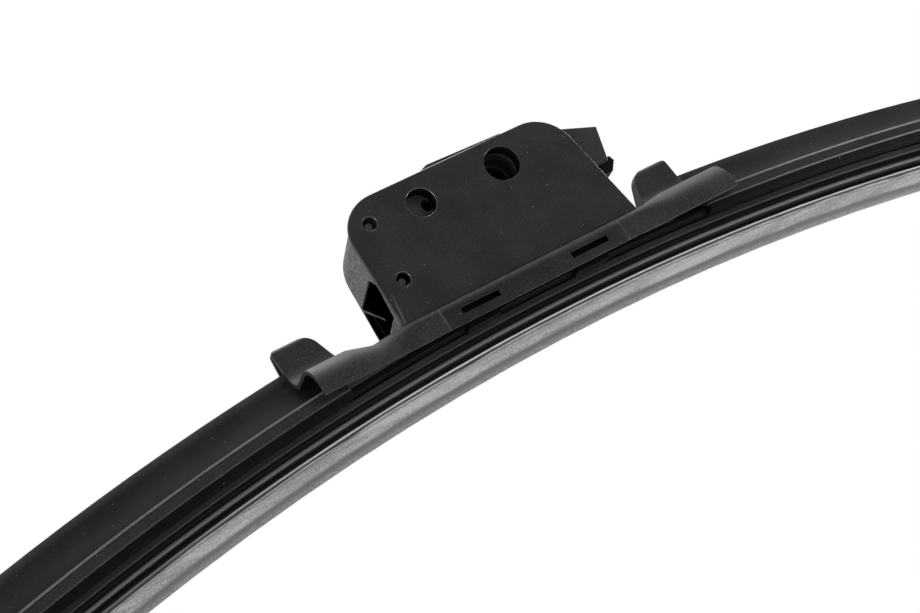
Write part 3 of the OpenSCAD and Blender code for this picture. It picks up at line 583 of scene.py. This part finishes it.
# %% [markdown]
# The spoiler is a soft, matt profile, and nearly all the changes in its colour are painted light.
# It is paler near the upper edge, a painted highlight, and towards the right, where the light is
# stronger; it is darker just above the crease, a painted shade against the sheen there. It has a
# pale crease low on its side and a fine pale hem at its lower edge, with a paler band between
# them, and its hollow underneath is black, painted shade. Finer edges on the solid could catch
# the light there, but a surface so matt would hardly show them, so crease and hem are painted
# highlights, bands of grey at heights above the lip. Only blotches and dust are its own.

# %% Spoiler
LOWER_EDGE, HEM_TOP = (10.9, 11.05), (11.25, 11.45)
CREASE_FOOT, CREASE_TOP = (13.4, 13.7), (14.3, 14.6)

def spoiler_plastic():
    f = Grained("spoiler_plastic")
    height, light_to_right = height_above_lip(f), light_towards_right(f)
    grain, blotch = f.noise(0.4, 2, 0.6), f.noise(9, 3)
    tone = f.ramp(f.blend(blotch, 0.4, grain), 0.4, 0.6)
    # Painted shade: darker just above the crease, against the sheen that the face catches there.
    colour = f.mix(f.rise(height, 14.6, 19), 0.008, 0.017)
    # Painted light in layers: paler to the right, a highlight along the upper edge, highlights on
    # crease and hem with a paler band between, shade in the hollow; the last layer is the
    # moulding's own blotches.
    layers = (
        (f.times(light_to_right, 0.75), 0.034),
        (f.rise(height, 22.6, 25.2), f.mix(light_to_right, 0.05, 0.034)),
        (f.band(height, CREASE_FOOT, CREASE_TOP), f.mix(light_to_right, 0.12, 0.2)),
        (f.band(height, (11.2, 11.4), (13.1, 13.5)), 0.026),
        (f.band(height, LOWER_EDGE, HEM_TOP), f.mix(light_to_right, 0.045, 0.15)),
        (f.fall(height, *LOWER_EDGE), f.mix(light_to_right, 0.004, 0.008)),
        (f.times(tone, 0.3), 0.002),
    )
    for where, grey in layers:
        colour = f.mix(where, colour, grey)
    f.give(colour=f.dusted(colour), rough=0.6, specular=0.012)
    f.bump(grain, 0.015)
    return f.material

spoiler_finish = spoiler_plastic()
print("finish:", spoiler_finish.name)

# %% [markdown]
# The rails, the bracket, the pins and the rivets are steel. The rails and the bracket are
# painted black against rust, and that black is made darker still and almost without sheen, as
# painted shade under the carrier; the pins and rivets are bare, drawn wire with a dull sheen. The
# paint could be a coat over the metal, but nothing of the metal shows through it, so the same
# recipe is used with and without its metallic value.

# %% Steel
def steel(name, dark, light, rough, metallic=1.0, specular=0.5):
    f = Grained(name)
    drawn = f.noise(0.3, 3, 0.6, (1, 0.1, 1))
    f.give(colour=f.mix(f.ramp(drawn, 0.35, 0.65), dark, light),
           rough=f.ramp(drawn, 0.3, 0.7, rough - 0.06, rough + 0.08),
           metallic=metallic, specular=specular)
    f.bump(drawn, 0.004)
    return f.material

# Black paint, made darker and almost without sheen as painted shade under the carrier.
black_shaded_finish = steel("black_shaded_steel", 0.002, 0.004, 0.55, metallic=0.0, specular=0.05)
pin_finish = steel("pin_steel", 0.03, 0.06, 0.35)
bare_finish = steel("bare_steel", 0.38, 0.5, 0.34)
print("steels:", [m.name for m in (black_shaded_finish, pin_finish, bare_finish)])

# %% [markdown]
# Moulds and presses never leave a knife edge, and the light that runs along a rounded edge is
# what makes a small part look real. A bevel node in the material could fake it, but it is slow
# and doesn't change the outline. A copy of each solid gets real rounding instead: equal faces
# are merged, sharp edges bevelled, and the shading made smooth across the rounding only.

# %% Rounding
SHARP_ANGLE, FLAT_ANGLE, SAME_POINT = math.radians(35.0), math.radians(0.4), 0.002 * MM

def merged(mesh):
    b = bmesh.new()
    b.from_mesh(mesh)
    bmesh.ops.remove_doubles(b, verts=b.verts, dist=SAME_POINT)
    bmesh.ops.dissolve_limit(b, angle_limit=FLAT_ANGLE, verts=b.verts, edges=b.edges)
    b.to_mesh(mesh)
    b.free()

def bevelled(piece, width_mm, segments):
    bevel = piece.modifiers.new("rounding", "BEVEL")
    bevel.width, bevel.segments = width_mm * MM, segments
    bevel.limit_method, bevel.angle_limit = "ANGLE", SHARP_ANGLE
    bevel.use_clamp_overlap, bevel.loop_slide = False, False
    bevel.harden_normals = True
    piece.data.set_sharp_from_angle(angle=SHARP_ANGLE)
    bpy.context.view_layer.update()
    result = piece.evaluated_get(bpy.context.evaluated_depsgraph_get())
    mesh = bpy.data.meshes.new_from_object(result)
    piece.modifiers.clear()
    piece.data = mesh

print("edges sharper than", round(math.degrees(SHARP_ANGLE)), "degrees are rounded")

# %% [markdown]
# Each rounded copy takes the place of its solid, rides on the same body and gets its finish. One
# width of rounding for all would be shorter, but the ribs of the button would melt away. The
# strip, the button and the carrier, which have narrow ridges, ribs and slots, get a finer rounding
# than the other mouldings.

# %% Rounded copies of the solids
def rounded(name, finish, width_mm, body="blade", segments=3):
    mesh = nodes[name].data.copy()
    merged(mesh)
    piece = bpy.data.objects.new(name + "_piece", mesh)
    bpy.context.scene.collection.objects.link(piece)
    bevelled(piece, width_mm, segments)
    piece.data.materials.clear()
    piece.data.materials.append(finish)
    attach(piece, body)
    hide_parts(name)
    print(name, len(piece.data.polygons), "faces")

FINE, MIDDLE, WIDE = 0.12, 0.25, 0.3
rounded("wiper_rubber", strip_finish, FINE, segments=2)
for side in ("left", "right"):
    rounded("spoiler_" + side, spoiler_finish, MIDDLE)
    rounded("end_cap_" + side, cap_finish, MIDDLE)
rounded("side_plate", plate_finish, WIDE)
rounded("housing", housing_finish, WIDE)
rounded("adapter_block", block_finish, MIDDLE)
rounded("release_button", button_finish, FINE, body="release")
rounded("carrier", carrier_finish, FINE)

# %% [markdown]
# The steel pieces are hidden or nearly so: rails in the rubber, the bracket under the carrier,
# clips in the caps, rivets inside, and pins of which only an end shows. They could be rounded
# as well, but nobody would see it, so the solids stay and only get their finish.

# %% Finish of the plain solids
PLAIN = {"rail_near": black_shaded_finish, "rail_far": black_shaded_finish, "claw_bracket": black_shaded_finish,
         "pin_upper": pin_finish, "pin_lower": pin_finish, "rivet_left": bare_finish,
         "rivet_right": bare_finish, "rail_clip_left": bare_finish, "rail_clip_right": bare_finish}
for name, finish in PLAIN.items():
    nodes[name].data.materials.clear()
    nodes[name].data.materials.append(finish)
print("plain solids:", len(PLAIN))

# %% [markdown]
# The rounding takes a little off the corners, so the dressed blade is never larger than its
# solids.
